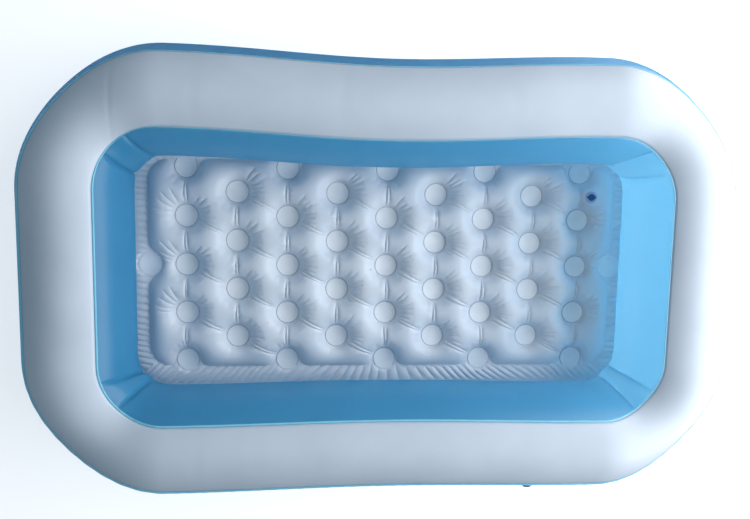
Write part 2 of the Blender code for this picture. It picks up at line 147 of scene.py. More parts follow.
# %% Calendered white vinyl film
PVC_IOR = 1.53
MOST_GLOSS = 0.07  # the rolled grain keeps the gloss low at grazing angles
SLACK_SHARE = 0.6
GRAIN_DETAIL, SLACK_DETAIL, PATCH_DETAIL = 2.0, 1.0, 3.0
PATCH_STOPS = (0.35, 0.65)


def film_height(material, grain_mm, slack_mm):
    """Bump height of blown film: fine rolled grain over broad, slack unevenness."""
    place = add_node(material, "ShaderNodeTexCoord", {}).outputs["Object"]
    grain = noise_node(material, place, grain_mm, GRAIN_DETAIL)
    slack = noise_node(material, place, slack_mm, SLACK_DETAIL)
    values = {"Factor": SLACK_SHARE, "A": grain, "B": slack}
    mixed = add_node(material, "ShaderNodeMix", values, data_type="FLOAT")
    return place, mixed.outputs["Result"]


def film_colour(material, place, base_hex, other_hex, patch_mm):
    """Two near colours mixed in soft patches, as an uneven melt leaves them."""
    patches = noise_node(material, place, patch_mm, PATCH_DETAIL)
    ramp = add_node(material, "ShaderNodeValToRGB", {"Fac": patches})
    for index, hex_colour in enumerate((base_hex, other_hex)):
        ramp.color_ramp.elements[index].position = PATCH_STOPS[index]
        ramp.color_ramp.elements[index].color = linear(hex_colour)
    return ramp.outputs["Color"]


def vinyl(name, colours, patch_mm, grain_mm, slack_mm, roughness, bump_mm):
    """A vinyl surface: near colours in patches, and a bump of grain over slack."""
    material, shader = new_material(name)
    place, height = film_height(material, grain_mm, slack_mm)
    colour = film_colour(material, place, *colours, patch_mm)
    bump = add_node(
        material, "ShaderNodeBump", {"Height": height, "Distance": bump_mm * MM}
    )
    tree = material.node_tree
    tree.links.new(colour, shader.inputs["Base Color"])
    tree.links.new(bump.outputs["Normal"], shader.inputs["Normal"])
    shader.inputs["Roughness"].default_value = roughness
    shader.inputs["IOR"].default_value = PVC_IOR
    return material


def let_light_through(material, share, hex_colour):
    """Mixes in a translucent share: light from behind comes out softened."""
    shader = material.node_tree.nodes["Principled BSDF"]
    through = add_node(
        material, "ShaderNodeBsdfTranslucent", {"Color": linear(hex_colour)}
    )
    mixed = add_node(
        material,
        "ShaderNodeMixShader",
        {0: share, 1: shader.outputs["BSDF"], 2: through.outputs["BSDF"]},
    )
    output = material.node_tree.nodes["Material Output"]
    material.node_tree.links.new(mixed.outputs["Shader"], output.inputs["Surface"])


def gloss_over(material, roughness):
    """Lays the film's own reflection over the light it throws back or lets through."""
    tree = material.node_tree
    output = tree.nodes["Material Output"]
    shader = tree.nodes["Principled BSDF"]
    shader.inputs["Specular IOR Level"].default_value = 0
    normal = shader.inputs["Normal"].links[0].from_socket
    share = add_node(material, "ShaderNodeFresnel", {"IOR": PVC_IOR, "Normal": normal})
    share = math_node(material, "MINIMUM", share.outputs["Fac"], MOST_GLOSS)
    gloss = add_node(
        material, "ShaderNodeBsdfAnisotropic", {"Roughness": roughness, "Normal": normal}
    )
    under = output.inputs["Surface"].links[0].from_socket
    values = {0: share, 1: under, 2: gloss.outputs["BSDF"]}
    mixed = add_node(material, "ShaderNodeMixShader", values)
    tree.links.new(mixed.outputs["Shader"], output.inputs["Surface"])


WHITE_FILM = vinyl(
    "calendered_white_vinyl", ("d6dee8", "cfd8e3"), 140, 2.5, 90, 0.42, 0.25
)
print("made", WHITE_FILM.name)

# %% [markdown]
# ## Blue film
#
# The walls are the same film with a blue dye in place of the white filler. With
# no filler it lets most of the light through, softened: light from the right goes
# into the tube by the outer wall and makes the right inner wall glow, and the left
# wall, which only throws light back, looks darker.
#
# Subsurface scattering could do it, but it's meant for thick things. Each face of
# the film mixes the usual shader with a translucent one, which fits a thin sheet.
# A sheet has two faces, so the one that looks into the tube only passes the light
# on, and the outer wall, which is seen least, is a little clearer. The face towards
# the basin is a lighter copy of the same blue: painted light for the lamps falling
# on the inner wall. The gloss lies over both shares, because the film's face
# reflects before any light enters it.

# %% Dyed blue vinyl film
BLUE_DYES = ("3096de", "2b8fd8")
# The same dye made lighter for the basin face of the inner wall: painted light.
BLUES_PAINTED_LIGHTER = ("44b0e6", "3ca8de")
SATIN, GLOSSY = 0.42, 0.33


def blue_vinyl(name, colours, roughness):
    return vinyl(name, colours, 120, 2.5, 70, roughness, 0.2)


# The basin face takes the lighter blues, which are painted light.
BLUE_FILM = blue_vinyl("dyed_blue_vinyl_painted_lighter", BLUES_PAINTED_LIGHTER, SATIN)
let_light_through(BLUE_FILM, 0.64, "a2daec")
gloss_over(BLUE_FILM, GLOSSY)
BLUE_INSIDE = blue_vinyl("blue_vinyl_air_side", BLUE_DYES, SATIN)
let_light_through(BLUE_INSIDE, 1.0, "f4fcfe")
BLUE_OUTSIDE = blue_vinyl("blue_vinyl_outer_wall", BLUE_DYES, GLOSSY)
let_light_through(BLUE_OUTSIDE, 0.88, "e2f4fd")
gloss_over(BLUE_OUTSIDE, GLOSSY)
BLUE_GROUND = blue_vinyl("blue_vinyl_on_the_ground", BLUE_DYES, SATIN)
print("made", BLUE_FILM.name, "with its inside, outer wall and ground sheet")

# %% [markdown]
# ## Floor film
#
# The floor is pale blue-grey film with a satin face. It's pulled hard over the
# pillows, so its fine wrinkles are real shape, made further down, and the bump
# only adds the grain. Where it's welded flat, the weld's plate has pressed the
# wrinkles out and left it duller: the welds get a material of their own.

# %% Pale floor film and its pressed welds
FLOOR_FILM = vinyl(
    "satin_floor_vinyl", ("ebf0f7", "e5ebf3"), 60, 2.0, 24, 0.38, 0.3
)
let_light_through(FLOOR_FILM, 0.1, "e3eefa")
PRESSED_WELD = vinyl(
    "pressed_floor_weld", ("edf1f6", "e6ebf1"), 30, 1.5, 9, 0.46, 0.12
)
print("made", FLOOR_FILM.name, PRESSED_WELD.name)

# %% [markdown]
# ## Seam weld
#
# The films are welded by high frequency between two brass bars, which leaves a
# thin flat lip where white film lies on blue film. The blue shines through the
# white, so the lip looks light cyan.

# %% High frequency seam weld
SEAM_WELD = vinyl("welded_seam_lip", ("8fdaf0", "85d2ec"), 40, 1.5, 9, 0.36, 0.15)
print("made", SEAM_WELD.name)

# %% [markdown]
# ## Moulded valves
#
# The valves are injection moulded from soft PVC. The stem, the stopper and the
# flap are dyed dark blue. The base, which is welded into the film, is moulded
# clear so that the weld can be made through it, and it takes the colour of what
# lies under it. Moulded skin is smoother than rolled film and has broad, very
# faint flow marks.

# %% Moulded soft vinyl
VALVE_BLUE = vinyl("moulded_dark_blue_vinyl", ("27528f", "214a86"), 6, 0.6, 4, 0.3, 0.08)
VALVE_CLEAR = vinyl("moulded_clear_vinyl", ("b4cae8", "a9c0e0"), 6, 0.6, 4, 0.28, 0.08)
print("made", VALVE_BLUE.name, VALVE_CLEAR.name)

# %% [markdown]
# ## The ring's middle line
#
# The ring is one tube bent into a rounded rectangle. Its two long sides bow in a
# little, because the ends pull on them, and the tube pinches where it turns the
# corners. One line along the ground under the middle of the tube carries all of
# this, and every film of the ring is laid out from it.
#
# A curve with a bevel could do the same, but a table of stations lets each film
# be dented and creased by formula afterwards, so the films are made from numbers.

# %% Stations along the ring
LENGTH, WIDTH, HEIGHT = 1.66, 1.033, 0.28
TUBE_WIDTH = 0.246
CORNER_RADIUS = 0.205
BACK_BOW, FRONT_BOW = 0.018, 0.008
CORNER_PINCH = 0.07
HALF_LENGTH = (LENGTH - TUBE_WIDTH) / 2
HALF_WIDTH = (WIDTH - TUBE_WIDTH) / 2
END_X = HALF_LENGTH - CORNER_RADIUS
END_Y = HALF_WIDTH - CORNER_RADIUS
STRAIGHT_STEP = 12 * MM
CORNER_STEP_DEGREES = 1.25
NO_CORNER = -99
LAP_X = -0.08


def side_line(x, bow):
    return HALF_WIDTH - bow * np.cos(np.pi * x / (2 * END_X)) ** 2


def even_steps(start, end):
    count = round(abs(end - start) / STRAIGHT_STEP)
    return np.linspace(start, end, count + 1)[:-1]


def straight_rows(x, y):
    """Rows (x, y, scale, corner angle) of a side; it has no corner angle."""
    x, y = np.broadcast_arrays(x, y)
    return np.stack([x, y, np.ones_like(x), np.full_like(x, NO_CORNER)], axis=1)


def corner_rows(x_sign, y_sign, first_degrees):
    """The same for a corner, whose angle runs from 0 at the pool's end to 90."""
    turn = np.arange(0, 90, CORNER_STEP_DEGREES)
    angle = np.radians(first_degrees + turn)
    x = x_sign * END_X + CORNER_RADIUS * np.cos(angle)
    y = y_sign * END_Y + CORNER_RADIUS * np.sin(angle)
    scale = 1 - CORNER_PINCH * np.sin(np.pi * turn / 90) ** 2
    from_end = turn if x_sign * y_sign > 0 else 90 - turn
    return np.stack([x, y, scale, from_end], axis=1)


# %% [markdown]
# The stations start at the lap at the back, go round the left end to the lap at
# the front, and come back round the right end. Each keeps the way that points
# out of the pool, which the film's points are moved along.

# %% The whole ring
back = even_steps(LAP_X, -END_X)
front = even_steps(-END_X, LAP_X)
front_right = even_steps(LAP_X, END_X)
back_right = even_steps(END_X, LAP_X)
down = even_steps(END_Y, -END_Y)
LEFT_PART = np.concatenate(
    [
        straight_rows(back, side_line(back, BACK_BOW)),
        corner_rows(-1, 1, 90),
        straight_rows(-HALF_LENGTH, down),
        corner_rows(-1, -1, 180),
        straight_rows(front, -side_line(front, FRONT_BOW)),
    ]
)
RIGHT_PART = np.concatenate(
    [
        straight_rows(front_right, -side_line(front_right, FRONT_BOW)),
        corner_rows(1, -1, 270),
        straight_rows(HALF_LENGTH, -down),
        corner_rows(1, 1, 0),
        straight_rows(back_right, side_line(back_right, BACK_BOW)),
    ]
)
RING = np.concatenate([LEFT_PART, RIGHT_PART])
ahead = np.roll(RING[:, :2], -1, axis=0) - np.roll(RING[:, :2], 1, axis=0)
ahead /= np.linalg.norm(ahead, axis=1)[:, None]
RING_OUT = np.stack([ahead[:, 1], -ahead[:, 0]], axis=1)
steps = np.linalg.norm(np.roll(RING[:, :2], -1, axis=0) - RING[:, :2], axis=1)
RING_RUN = np.cumsum(steps) - steps
WHOLE_RING = np.arange(len(RING))
print(len(RING), "stations round", round(float(steps.sum()), 3), "m of ring")

# %% [markdown]
# ## Film laid over the ring
#
# A film of the ring is a grid: stations along, angles round the tube across. Each
# point lies on the oval tube and is then pushed along the tube's normal by what
# dents it. The grid gets the film's thickness from a Solidify modifier, so it's a
# thin closed sheet and light can pass through it as it does through the real one.

# %% A film as a grid round the tube
HALF_TUBE, HALF_HEIGHT = TUBE_WIDTH / 2, HEIGHT / 2
INNER_SEAM = math.radians(32.3)
OUTER_SEAM = math.radians(50.4)
FILM = 0.5 * MM


def tube_grid(stations, angles, push):
    """Points of a film; push says how far each one stands off the tube."""
    angles = np.broadcast_to(angles, push.shape)
    scale = RING[stations, 2][:, None]
    normal_out = HALF_HEIGHT * np.sin(angles)
    normal_up = HALF_TUBE * np.cos(angles)
    size = np.hypot(normal_out, normal_up)
    reach = HALF_TUBE * np.sin(angles) * scale + push * normal_out / size
    up = HALF_HEIGHT * (1 + np.cos(angles)) * scale + push * normal_up / size
    flat = RING[stations, None, :2] + reach[:, :, None] * RING_OUT[stations, None, :]
    return np.concatenate([flat, up[:, :, None]], axis=2)


def grid_faces(rows, columns, closed):
    """Quads of a grid; the last row joins the first where the film is a loop."""
    row, column = np.meshgrid(
        np.arange(rows if closed else rows - 1), np.arange(columns - 1), indexing="ij"
    )
    first, after = row * columns + column, (row + 1) % rows * columns + column
    return np.stack([first, first + 1, after + 1, after], axis=-1).reshape(-1, 4)


def new_object(name, points, faces, materials):
    """A mesh object in the scene, with its materials in this order."""
    mesh = bpy.data.meshes.new(name)
    mesh.from_pydata(points, [], faces)
    for material in materials:
        mesh.materials.append(material)
    obj = bpy.data.objects.new(name, mesh)
    bpy.context.scene.collection.objects.link(obj)
    return obj


def film_object(name, points, faces, materials, grow, inner_face=0):
    """A thin sheet of film that rides on the pool; grow is the side it thickens to.

    inner_face is 1 where the sheet's other face has the next material.
    """
    obj = new_object(name, points.reshape(-1, 3).tolist(), faces.tolist(), materials)
    obj.data.shade_smooth()
    shell = obj.modifiers.new("film thickness", "SOLIDIFY")
    shell.thickness = FILM
    shell.offset = grow
    shell.material_offset = inner_face
    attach(obj, "pool")
    return obj


def unevenness(points, wave_mm, height_mm):
    """Gentle bulges of the blown film: smooth noise, the same at every run."""
    places = points.reshape(-1, 3) / (wave_mm * MM)
    heights = [noise.noise(Vector(place)) for place in places]
    return height_mm * MM * np.array(heights).reshape(points.shape[:-1])


# %% [markdown]
# ## The white top
#
# The pool was sold folded flat, and the air hasn't taken all the fold lines out:
# a few faint straight lines cross the top of the ring. Each is a shallow groove
# with a soft edge, at the places where the photograph shows one.

# %% Ring top with its pack folds
PACK_FOLDS_BACK = (-0.60, -0.43, -0.115, 0.26)
PACK_FOLDS_FRONT = (-0.43, -0.30, 0.06, 0.41)
PACK_FOLDS_ENDS = (-0.12, 0.16)
FOLD_WIDTH = 4 * MM
FOLD_DEPTH = 0.7 * MM
TOP_COLUMNS = 30
SEAM_ROOT = 0.004
SWELL_MM, SWELL_HEIGHT_MM = 150, 1.6
HELD_POWER = 0.4


def groove(away, width):
    return np.exp(-((away / width) ** 2))


def pack_folds(points):
    """How deep the old fold lines press into the film at each point."""
    x, y = points[..., 0], points[..., 1]
    depth = np.zeros(x.shape)
    for place in PACK_FOLDS_BACK:
        depth += groove(x - place, FOLD_WIDTH) * (y > 0)
    for place in PACK_FOLDS_FRONT:
        depth += groove(x - place, FOLD_WIDTH) * (y < 0)
    for place in PACK_FOLDS_ENDS:
        depth += groove(y - place, FOLD_WIDTH) * (np.abs(x) > END_X)
    return FOLD_DEPTH * depth


top_angles = np.linspace(OUTER_SEAM - SEAM_ROOT, SEAM_ROOT - INNER_SEAM, TOP_COLUMNS)
top_shape = np.zeros((len(RING), TOP_COLUMNS))
still_top = tube_grid(WHOLE_RING, top_angles, top_shape)
top_push = unevenness(still_top, SWELL_MM, SWELL_HEIGHT_MM) - pack_folds(still_top)
held_at_seams = np.sin(np.linspace(0, np.pi, TOP_COLUMNS)) ** HELD_POWER
top_points = tube_grid(WHOLE_RING, top_angles, top_push * held_at_seams)
top_faces = grid_faces(len(RING), TOP_COLUMNS, True)
ring_top = film_object("ring_top_film", top_points, top_faces, [WHITE_FILM], 1)
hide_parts("ring_top_panel")
print("ring top:", len(top_faces), "faces")

# %% [markdown]
# ## Corner tucks
#
# The inner wall is what the child leans on. Where the tube turns a corner, its
# inner side has too much film, which can't shrink, so it buckles into two sharp
# tucks with a flat facet between them. Each tuck starts as a point near the top
# seam, runs down the wall and gets deeper to the bulge. The places come from the
# photograph, as degrees round each corner and round the tube.
#
# A tuck is a groove with a sharp bottom: the push falls off from its middle with
# a cusp, so the light breaks along it in a line and not in a soft valley.

# %% Corner tucks in the inner wall
# Each corner (x sign, y sign) has two tucks: (turn at the top, turn at the
# bottom, tube angle where it starts, tube angle where it ends), in degrees.
CORNER_TUCKS = {
    (-1, 1): ((59, 66, 30, 100), (34, 27, 33, 130)),
    (-1, -1): ((17, 34, 34, 125), (44, 53, 34, 110)),
    (1, -1): ((29, 31, 34, 115), (54, 53, 36, 118)),
    (1, 1): ((50, 66, 31, 90), (24, 31, 38, 112)),
}
TUCK_TOP, TUCK_BOTTOM = 33, 93
TUCK_DEPTH = 13 * MM
TUCK_WIDTH = 3.2 * MM
TUCK_DRIFT, TUCK_FULLNESS = 0.8, 0.7
FACET_PULL = 5 * MM


def corner_tucks(stations, angles, tucks):
    """Depth of one corner's tucks, and the pull that flattens the wall between."""
    turn = RING[stations, 3][:, None]
    degrees = np.degrees(np.abs(angles))[None, :]
    down_wall = (degrees - TUCK_TOP) / (TUCK_BOTTOM - TUCK_TOP)
    radius = CORNER_RADIUS - HALF_TUBE * np.sin(np.abs(angles))[None, :]
    depth, lines = 0, []
    for at_top, at_bottom, start, end in tucks:
        line = at_top + (at_bottom - at_top) * down_wall
        away = np.radians(turn - line) * radius
        share = np.clip((degrees - start) / (end - start), 0, 1)
        strength = np.sin(np.pi * share**TUCK_DRIFT) ** TUCK_FULLNESS
        depth = depth + strength * np.exp(-np.abs(away) / TUCK_WIDTH)
        lines.append(line)
    middle = (2 * turn - lines[0] - lines[1]) / (lines[1] - lines[0])
    between = np.clip(1 - middle**2, 0, 1) * np.clip(down_wall, 0, 1)
    return TUCK_DEPTH * depth, FACET_PULL * between


def wall_dents(stations, angles):
    """How far the inner wall stands off the plain tube."""
    push = np.zeros((len(stations), len(angles)))
    x, y, turn = RING[stations, 0], RING[stations, 1], RING[stations, 3]
    for (x_sign, y_sign), tucks in CORNER_TUCKS.items():
        here = (turn != NO_CORNER) & (x * x_sign > 0) & (y * y_sign > 0)
        depth, pull = corner_tucks(stations, angles, tucks)
        push += np.where(here[:, None], pull - depth, 0)
    return push


# %% [markdown]
# ## The blue walls
#
# A wall comes down off the tube's bulge and meets the ground at a tangent. The
# oval would curl under the ring there, so from one angle on the film runs
# straight down to the ground, and its welded edge lies flat under the ring.
#
# The inner wall is two strips that lap at the back and at the front. The left
# one lies over the right one, and its cut edge is a faint upright line.

# %% Shape of a wall
LOWER_SEAM = math.radians(148.0)
WELD_MARGIN = 10 * MM
WALL_COLUMNS = 44
FOOT_COLUMNS = 5


def wall_points(stations, side, seam, inset, rise, push):
    """A wall from its seam to the ground; side is -1 to the basin and 1 outward."""
    angles = side * np.linspace(seam + SEAM_ROOT, LOWER_SEAM, WALL_COLUMNS)
    if push is not None:
        offset = push(stations, angles) - inset
    else:
        offset = np.full((len(stations), WALL_COLUMNS), -inset)
    body = tube_grid(stations, angles, offset)
    way = body[:, -1] - body[:, -2]
    share = (rise - body[:, -1, 2]) / way[:, 2]
    foot = body[:, -1] + way * share[:, None]
    across = np.linspace(0, 1, FOOT_COLUMNS + 1)[1:, None]
    straight = body[:, -1, None] + (foot - body[:, -1])[:, None] * across
    edge = foot[:, None].copy()
    edge[:, 0, :2] -= side * WELD_MARGIN * RING_OUT[stations]
    return np.concatenate([body, straight, edge], axis=1)


# %% Inner wall strips
LEFT_STATIONS = np.arange(len(LEFT_PART) + 1)
RIGHT_STATIONS = np.arange(len(LEFT_PART), len(RING) + 1) % len(RING)
LAYER = 0.8 * MM
LAP = 2.5 * MM
EDGE_SHARE = 0.05
GROUND_RISE = 2.1 * MM


def with_edge_rows(wall):
    """Adds a row close to each cut edge, so that the shading bends only there."""
    first = wall[:1] + (wall[1:2] - wall[:1]) * EDGE_SHARE
    last = wall[-1:] + (wall[-2:-1] - wall[-1:]) * EDGE_SHARE
    return np.concatenate([wall[:1], first, wall[1:-1], last, wall[-1:]])


for strip, stations, layers in (
    ("left", LEFT_STATIONS, 0),
    ("right", RIGHT_STATIONS, 1),
):
    rise = GROUND_RISE + (1 - layers) * LAYER
    wall = wall_points(stations, -1, INNER_SEAM, layers * LAYER, rise, wall_dents)
    wall[[0, -1], :, 0] += (1 - layers) * LAP
    wall = with_edge_rows(wall)
    faces = grid_faces(wall.shape[0], wall.shape[1], False)
    name = "inner_wall_" + strip
    inner_wall = film_object(name + "_film", wall, faces, [BLUE_INSIDE, BLUE_FILM], -1, 1)
    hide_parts(name + "_strip")
    print(inner_wall.name, "has", len(faces), "faces")

# %% Outer wall
OUTER_RISE = 1.3 * MM

wall = wall_points(WHOLE_RING, 1, OUTER_SEAM, 0, OUTER_RISE, None)
faces = grid_faces(len(RING), wall.shape[1], True)
outer_wall = film_object(
    "outer_wall_film", wall, faces, [BLUE_OUTSIDE, BLUE_INSIDE], 1, 1
)
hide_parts("outer_wall_band")
print(outer_wall.name, "has", len(faces), "faces")

# %% [markdown]
# ## Seam lips
#
# Along both seams the weld leaves a lip of two films, about 5 mm wide. The inner
# one lies well over towards the blue wall and the outer one about halfway, and
# both ripple a little all the way round. Along the back and the right end hardly
# any lip shows, so it's narrower there. Each lip is a narrow band with a rounded
# free edge, swept like the films.

# %% Lips along both seams
LIP_WIDTH = 5 * MM
LIP_THICK = 1.0 * MM
RIPPLE_LENGTH = 31 * MM
RIPPLE = 0.5 * MM
NARROWER = 0.7
INNER_LEAN, OUTER_LEAN = math.radians(68), math.radians(50)
LIP_SECTION_SHARES = ((0, 1), (0.5, 1), (0.9, 0.8), (1, 0), (0.9, -0.8), (0.5, -1), (0, -1))


def lip_points(side, seam, lean):
    """A closed band round the ring; lean turns it from the normal to the wall."""
    angle = side * seam
    scale = RING[:, 2][:, None]
    root = np.array([HALF_TUBE * math.sin(angle), HALF_HEIGHT * (1 + math.cos(angle))])
    normal = np.array([HALF_HEIGHT * math.sin(angle), HALF_TUBE * math.cos(angle)])
    normal /= np.linalg.norm(normal)
    down_wall = np.array([normal[1], -normal[0]]) * side
    way = normal * math.cos(lean) + down_wall * math.sin(lean)
    aside = np.array([-way[1], way[0]])
    ripple = RIPPLE * np.sin(2 * np.pi * RING_RUN / RIPPLE_LENGTH)
    close_bars = np.clip(RING_OUT.max(axis=1, keepdims=True), 0, 1)
    width = LIP_WIDTH * (1 - NARROWER * close_bars)
    rows = []
    for out, half in LIP_SECTION_SHARES:
        place = root + way * out * width + aside * half * LIP_THICK / 2
        place = place * scale + out * ripple[:, None] * aside
        flat = RING[:, :2] + place[:, :1] * RING_OUT
        rows.append(np.concatenate([flat, place[:, 1:]], axis=1))
    return np.stack(rows, axis=1)


def lip_object(name, points):
    columns = points.shape[1]
    faces = grid_faces(len(RING), columns, True)
    close = faces.reshape(len(RING), columns - 1, 4)[:, 0].copy()
    close[:, 1] = close[:, 0] + columns - 1
    close[:, 2] = close[:, 3] + columns - 1
    quads = np.concatenate([faces, close[:, ::-1]]).tolist()
    obj = new_object(name, points.reshape(-1, 3).tolist(), quads, [SEAM_WELD])
    obj.data.shade_smooth()
    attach(obj, "pool")


lip_object("inner_seam_lip", lip_points(-1, INNER_SEAM, INNER_LEAN))
lip_object("outer_seam_lip", lip_points(1, OUTER_SEAM, OUTER_LEAN))
print("lips", LIP_WIDTH / MM, "mm wide")

# %% [markdown]
# ## Where the floor is welded
#
# The floor film is spot welded to the ground sheet in columns of three and four,
# set off by half a step, and more round welds notch its border. Everything else
# of the floor follows from these places: the pillows stand where the welds aren't.

# %% Weld places
FLOOR_X, FLOOR_Y = 0.0125, 0.005
PITCH_X, PITCH_Y = 0.1247, 0.1217
SPOT_RADIUS = 30 * MM
END_COLUMN = 4
CUSHION_X, CUSHION_Y = 0.592, 0.261
CUSHION_CORNER = 55 * MM
NOTCH_INSET = 2.5 * MM
VALVE_PAST_COLUMN = 22.7 * MM
TOP_ROW, BOTTOM_ROW = 1.5, -1.5
VALVE = (FLOOR_X + END_COLUMN * PITCH_X + VALVE_PAST_COLUMN, FLOOR_Y + TOP_ROW * PITCH_Y)

inside_spots, edge_spots = [], []
for column in range(-END_COLUMN, END_COLUMN + 1):
    x = FLOOR_X + column * PITCH_X
    rows = (-1, 0, 1) if column % 2 == 0 else (-1.5, -0.5, 0.5, 1.5)
    inside_spots += [(x, FLOOR_Y + row * PITCH_Y) for row in rows]
    if column % 2 == 0:
        edge_spots += [(x, FLOOR_Y + row * PITCH_Y) for row in (-2, 2)]
edge_spots += [(FLOOR_X + side * (CUSHION_X - NOTCH_INSET), FLOOR_Y) for side in (-1, 1)]
print(len(inside_spots), "welds inside and", len(edge_spots), "in the border")

# %% [markdown]
# At a weld's rim the film rises steeply off the pressed disc, and the foot of that
# rise lies in shade. Faces are too coarse for so thin a line, so the shader paints
# it: a darker line of painted shade round every weld. The welds lie on two
# lattices, one for the even and one for the odd columns. Wrapping the place into
# one cell of each gives the distance to the nearest weld, and the line is where
# that distance is nearly the radius. It's only drawn inside the cushion, because
# the border's welds run into the flange.

# %% Painted shade round the welds' rims
RIM_SHADE_LINE, RIM_SHADE_INSET = 1.1 * MM, 2.0 * MM


def paint_rim_shade(material, hex_colour):
    """Mixes a darker colour along the circle of every weld: painted shade at the rise's foot."""
    tree = material.node_tree
    base = tree.nodes["Principled BSDF"].inputs["Base Color"]
    place = add_node(material, "ShaderNodeTexCoord", {}).outputs["Object"]
    distances = []
    for odd in (0, 1):
        middle = (FLOOR_X + odd * PITCH_X, FLOOR_Y + odd * PITCH_Y / 2, 0)
        cell, flat = (PITCH_X, PITCH_Y / 2, 1), (1, 1, 0)
        steps = (("SUBTRACT", middle, flat), ("WRAP", cell, tuple(-c for c in cell)))
        way = place
        for operation, second, third in (*steps, ("MULTIPLY", flat, flat), ("LENGTH", flat, flat)):
            values = {0: way, 1: second, 2: third}
            node = add_node(material, "ShaderNodeVectorMath", values, operation=operation)
            way = node.outputs["Value" if operation == "LENGTH" else "Vector"]
        distances.append(way)
    inside = 1
    for axis, middle, half in (("X", FLOOR_X, CUSHION_X), ("Y", FLOOR_Y, CUSHION_Y)):
        parts = add_node(material, "ShaderNodeSeparateXYZ", {"Vector": place})
        near = math_node(material, "COMPARE", parts.outputs[axis], middle, half)
        inside = math_node(material, "MULTIPLY", near, inside)
    nearest = math_node(material, "MINIMUM", *distances)
    rim_shade_mask = math_node(material, "COMPARE", nearest, SPOT_RADIUS - RIM_SHADE_INSET, RIM_SHADE_LINE)
    rim_shade_mask = math_node(material, "MULTIPLY", rim_shade_mask, inside)
    values = {0: rim_shade_mask, 6: base.links[0].from_socket, 7: linear(hex_colour)}
    mixed = add_node(material, "ShaderNodeMix", values, data_type="RGBA")
    tree.links.new(mixed.outputs[2], base)


# The rim colour is painted shade for the foot of the film's steep rise, not the film's own colour.
paint_rim_shade(PRESSED_WELD, "a8b8cc")

# %% [markdown]
# ## The floor's plan grid
#
# The floor is modelled as a height at each place of a fine grid, because nothing
# on it hangs over. Where the cushion shows, the grid is 1.6 mm, fine enough for its
# folds, and it's coarse where the ring hides the flange. Grid points next to an
# inner weld's edge are moved onto it, so that each of them is a clean disc.

# %% Grid and distances
FINE = 1.6 * MM
COARSE = 12 * MM
FINE_X, FINE_Y = 0.65, 0.306
FLANGE_X, FLANGE_Y, FLANGE_CORNER = 0.677, 0.345, 0.175
FILLET = 32 * MM
SNAP_SHARE, HOLE_SNAP_SHARE = 0.6, 0.7


def grid_line(fine_reach, whole_reach):
    middle = np.linspace(-fine_reach, fine_reach, round(2 * fine_reach / FINE) + 1)
    steps = round((whole_reach - fine_reach) / COARSE)
    side = np.linspace(fine_reach, whole_reach, steps + 1)[1:]
    return np.concatenate([-side[::-1], middle, side])


def inside_distance(x, y, centre, half, corner):
    """How far a place lies inside a rounded rectangle; negative outside it."""
    past_x = np.abs(x - centre[0]) - (half[0] - corner)
    past_y = np.abs(y - centre[1]) - (half[1] - corner)
    outside = np.hypot(np.maximum(past_x, 0), np.maximum(past_y, 0))
    return corner - outside - np.minimum(np.maximum(past_x, past_y), 0)


def border_distance(x, y):
    return inside_distance(
        x, y, (FLOOR_X, FLOOR_Y), (CUSHION_X, CUSHION_Y), CUSHION_CORNER
    )


def spot_distance(x, y, spots):
    """Distance to the nearest weld's edge, and which weld that is."""
    away = [np.hypot(x - sx, y - sy) - SPOT_RADIUS for sx, sy in spots]
    return np.min(away, axis=0), np.argmin(away, axis=0)


def soft_min(first, second, reach):
    """The smaller of two distances, blended where they are nearly the same."""
    blend = np.clip(0.5 + (second - first) / (2 * reach), 0, 1)
    return second + (first - second) * blend - reach * blend * (1 - blend)


def rim_distance(x, y):
    """How far a place lies inside the border and off the welds that notch it."""
    return soft_min(border_distance(x, y), spot_distance(x, y, edge_spots)[0], FILLET)


line_x = grid_line(FINE_X, FLANGE_X + COARSE)
line_y = grid_line(FINE_Y, FLANGE_Y + COARSE)
plan_x, plan_y = np.meshgrid(line_x, line_y, indexing="ij")
print("floor grid:", plan_x.shape, "points")

# %% Points moved onto the weld edges
def onto_circle(x, y, centre_x, centre_y, radius, reach):
    """Moves each point that is within reach of the circle onto it."""
    to_x, to_y = x - centre_x, y - centre_y
    size = np.maximum(np.hypot(to_x, to_y), FINE / 4)
    share = np.where(np.abs(size - radius) < reach, radius / size, 1)
    return centre_x + to_x * share, centre_y + to_y * share


nearest = np.array(inside_spots)[spot_distance(plan_x, plan_y, inside_spots)[1]]
near_x, near_y = nearest[..., 0], nearest[..., 1]
plan_x, plan_y = onto_circle(
    plan_x, plan_y, near_x, near_y, SPOT_RADIUS, FINE * SNAP_SHARE
)
inner_away = spot_distance(plan_x, plan_y, inside_spots)[0]
edge_away = spot_distance(plan_x, plan_y, edge_spots)[0]
rim_away = rim_distance(plan_x, plan_y)
free = np.minimum(inner_away, rim_away)
print("free film:", round(float((free > 0).mean()), 3), "of the grid")

# %% [markdown]
# ## Blowing the floor up
#
# A film under even pressure takes the shape of a soap film: the sum of its two
# curvatures is the same all over, and it's held at zero along the welds. On a
# grid this is one rule, repeated some hundred times: each point's height is the
# mean of its four neighbours plus a little lift. Blender's cloth might do it too,
# but its pressure would have to be tuned, and that wasn't tried.
#
# A coarse grid finds the broad shape quickly, and the fine one only sharpens it.
# Close to a weld the height isn't let rise faster than a set slope, which keeps
# the rims as smooth as the circles are.

# %% Relaxing the film
RIM_SLOPE = 0.07
COARSER = 5
COARSE_ROUNDS, FINE_ROUNDS = 600, 500
LAST_CELL = 1.001


def relax(height, limit, lift, rounds):
    for _ in range(rounds):
        mean = (height[:-2, 1:-1] + height[2:, 1:-1]) / 4
        mean += (height[1:-1, :-2] + height[1:-1, 2:]) / 4 + lift
        height[1:-1, 1:-1] = np.minimum(mean, limit[1:-1, 1:-1])
    return height


